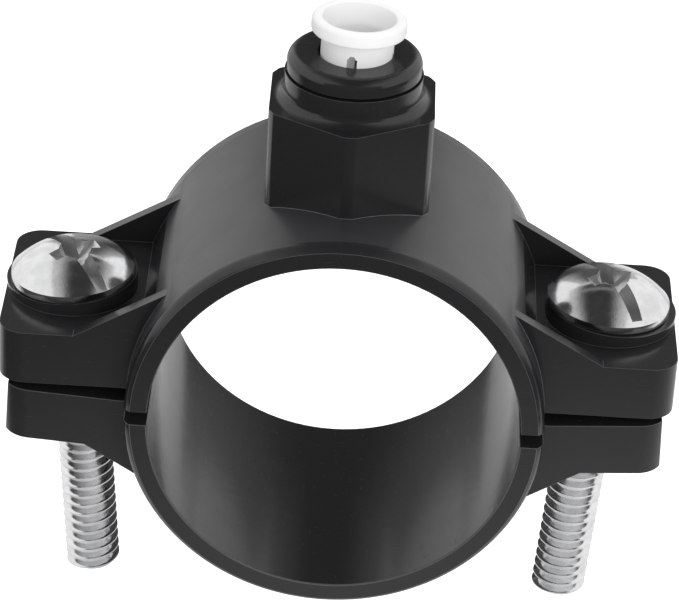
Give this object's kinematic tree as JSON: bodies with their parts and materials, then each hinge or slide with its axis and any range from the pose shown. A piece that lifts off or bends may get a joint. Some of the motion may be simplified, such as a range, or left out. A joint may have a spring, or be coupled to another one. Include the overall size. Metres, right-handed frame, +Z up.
{
  "type": "drain saddle clamp",
  "caption": "Two-part plastic saddle clamp for a drain pipe, drawn together by two screws, with a push-in tube fitting on top.",
  "frame": {"origin": "on the bore's axis, at the middle of the ring's width", "axes": "+Y along the bore, +Z up through the tube fitting, +X across the two screws"},
  "size_m": [0.077, 0.0334, 0.0754],
  "materials": {
    "moulded_plastic": "semi-gloss black",
    "plated_steel": "polished nickel plate",
    "zinc_steel": "zinc plate",
    "tooth_steel": "bare stainless strip",
    "white_acetal": "smooth white",
    "seal_rubber": "smooth black",
    "gasket_foam": "matt foam"
  },
  "bodies": {
    "clamp_top": {"upper_saddle": "moulded_plastic", "port_gasket": "gasket_foam", "retaining_cap": "moulded_plastic", "seal_spacer": "white_acetal", "tube_seal": "seal_rubber"},
    "clamp_bottom": {"lower_saddle": "moulded_plastic", "nut_left": "zinc_steel", "nut_right": "zinc_steel"},
    "screw_left": {"screw_left": "plated_steel"},
    "screw_right": {"screw_right": "plated_steel"},
    "release_collet": {"collet": "white_acetal", "tooth_front_right": "tooth_steel", "tooth_rear_right": "tooth_steel", "tooth_rear_left": "tooth_steel", "tooth_front_left": "tooth_steel"}
  },
  "joints": [
    {"name": "screw_left_turn", "type": "hinge", "parent": "clamp_top", "child": "screw_left", "pos_m": [-0.03035, 0, 0], "axis": [-0.0767, 0, 0.9971], "range_deg": [-170, 850]},
    {"name": "screw_right_turn", "type": "hinge", "parent": "clamp_top", "child": "screw_right", "pos_m": [0.03035, 0, 0], "axis": [0.0767, 0, 0.9971], "range_deg": [-170, 850]},
    {"name": "clamp_close", "type": "slide", "parent": "clamp_top", "child": "clamp_bottom", "axis": [0, 0, -1], "range_m": [-0.0006, 0.003]},
    {"name": "collet_press", "type": "slide", "parent": "clamp_top", "child": "release_collet", "axis": [0, 0, -1], "range_m": [0, 0.0015]}
  ],
  "couplings": [
    {"joint": "clamp_close", "follows": "screw_left_turn", "m_per_rad": 0.00020213},
    {"joint": "screw_right_turn", "follows": "screw_left_turn", "ratio": 1}
  ]
}
